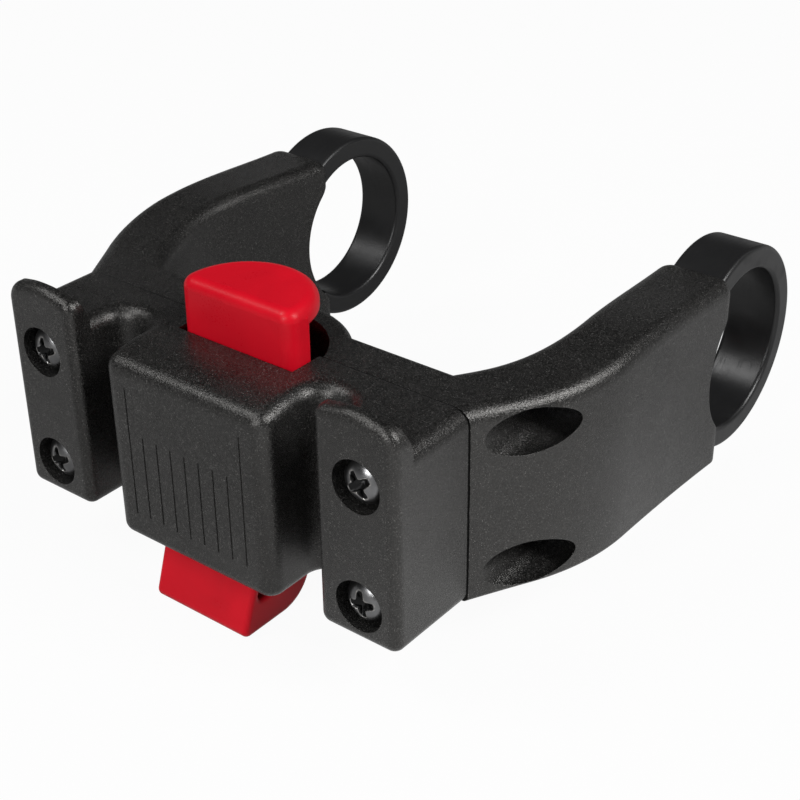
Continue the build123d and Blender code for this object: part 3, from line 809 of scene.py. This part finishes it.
class BAGMOUNT_OT_stage(bpy.types.Operator):
    """Set the floor, the room's light, the lamps and the camera"""

    bl_idname = "bag_mount.stage"
    bl_label = "Studio"

    def execute(self, context):
        stage = context.scene.bag_mount.stage
        low, high = CAD_BOX
        middle = 0.5 * (low + high)
        self.lay_floor(context, stage, low.z)
        self.light_room(context, stage)
        for name, (place, size) in LAMPS.items():
            add_lamp(name, place, (middle.x, middle.y, 0.0), size, getattr(stage, name))
        self.aim_camera(context, stage)
        context.scene.view_settings.view_transform = "Standard"
        return {"FINISHED"}

    def lay_floor(self, context, stage, level):
        """Square sheet under the object, at the level on which it rests."""
        sheet = bpy.data.meshes.new("studio_floor")
        corners = np.array([(-1, -1), (1, -1), (1, 1), (-1, 1)]) * FLOOR_REACH
        points = np.column_stack([corners, np.full(4, level)])
        sheet.from_pydata(points.tolist(), [], [(0, 1, 2, 3)])
        floor = bpy.data.objects.new("studio_floor", sheet)
        context.scene.collection.objects.link(floor)
        paint(floor, floor_finish(stage))

    def light_room(self, context, stage):
        """Room that is pale by the horizon and dim overhead, by the height of the direction looked in."""
        world = bpy.data.worlds.new("studio_room")
        context.scene.world = world
        world.use_nodes = True
        tree = world.node_tree
        toward = tree.nodes.new("ShaderNodeTexCoord")
        split = tree.nodes.new("ShaderNodeSeparateXYZ")
        ramp = tree.nodes.new("ShaderNodeMapRange")
        ramp.interpolation_type = "SMOOTHSTEP"
        ramp.inputs["From Max"].default_value = HORIZON_TOP
        ramp.inputs["To Min"].default_value = stage.horizon
        ramp.inputs["To Max"].default_value = stage.ceiling
        tree.links.new(toward.outputs["Generated"], split.inputs["Vector"])
        tree.links.new(split.outputs["Z"], ramp.inputs["Value"])
        tree.links.new(ramp.outputs["Result"], tree.nodes["Background"].inputs["Color"])

    def aim_camera(self, context, stage):
        """Camera at its place, turned by azimuth and elevation, then rolled about its own axis."""
        a, e = stage.azimuth, stage.elevation
        ahead = Vector((-math.sin(a) * math.cos(e), math.cos(a) * math.cos(e), -math.sin(e)))
        across = Matrix.Rotation(stage.roll, 3, ahead) @ Vector((math.cos(a), math.sin(a), 0.0))
        up = across.cross(ahead)
        data = bpy.data.cameras.new("camera")
        data.lens = stage.lens
        data.sensor_width = SENSOR_WIDTH
        data.clip_start = 0.01
        camera = bpy.data.objects.new("camera", data)
        axes = Matrix((across, up, -ahead)).transposed().to_4x4()
        camera.matrix_world = Matrix.Translation(Vector(stage.place)) @ axes
        context.scene.collection.objects.link(camera)
        context.scene.camera = camera


STEPS = (
    BAGMOUNT_OT_body,
    BAGMOUNT_OT_straps,
    BAGMOUNT_OT_slide,
    BAGMOUNT_OT_plate_screws,
    BAGMOUNT_OT_clamp_hardware,
    BAGMOUNT_OT_spring,
    BAGMOUNT_OT_stage,
)


class BAGMOUNT_PT_panel(bpy.types.Panel):
    """Sidebar list of the mount's pieces and their settings"""

    bl_idname = "BAGMOUNT_PT_panel"
    bl_label = "Bag Mount"
    bl_space_type = "VIEW_3D"
    bl_region_type = "UI"
    bl_category = "Bag Mount"

    def draw(self, context):
        for step in STEPS:
            self.layout.operator(step.bl_idname)
        settings = context.scene.bag_mount
        for group in (settings.moulded, settings.hardware, settings.stage):
            box = self.layout.box()
            for key in group.__annotations__:
                box.prop(group, key)


CLASSES = (MouldedSettings, HardwareSettings, StageSettings, BagMountSettings, *STEPS, BAGMOUNT_PT_panel)


def register():
    for part in CLASSES:
        bpy.utils.register_class(part)
    bpy.types.Scene.bag_mount = PointerProperty(type=BagMountSettings)


def unregister():
    del bpy.types.Scene.bag_mount
    for part in reversed(CLASSES):
        bpy.utils.unregister_class(part)


def main():
    """Registers the add-on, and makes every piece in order."""
    register()
    bpy.ops.bag_mount.body()
    bpy.ops.bag_mount.straps()
    bpy.ops.bag_mount.slide()
    bpy.ops.bag_mount.plate_screws()
    bpy.ops.bag_mount.clamp_hardware()
    bpy.ops.bag_mount.spring()
    bpy.ops.bag_mount.stage()


if __name__ == "__main__":
    main()
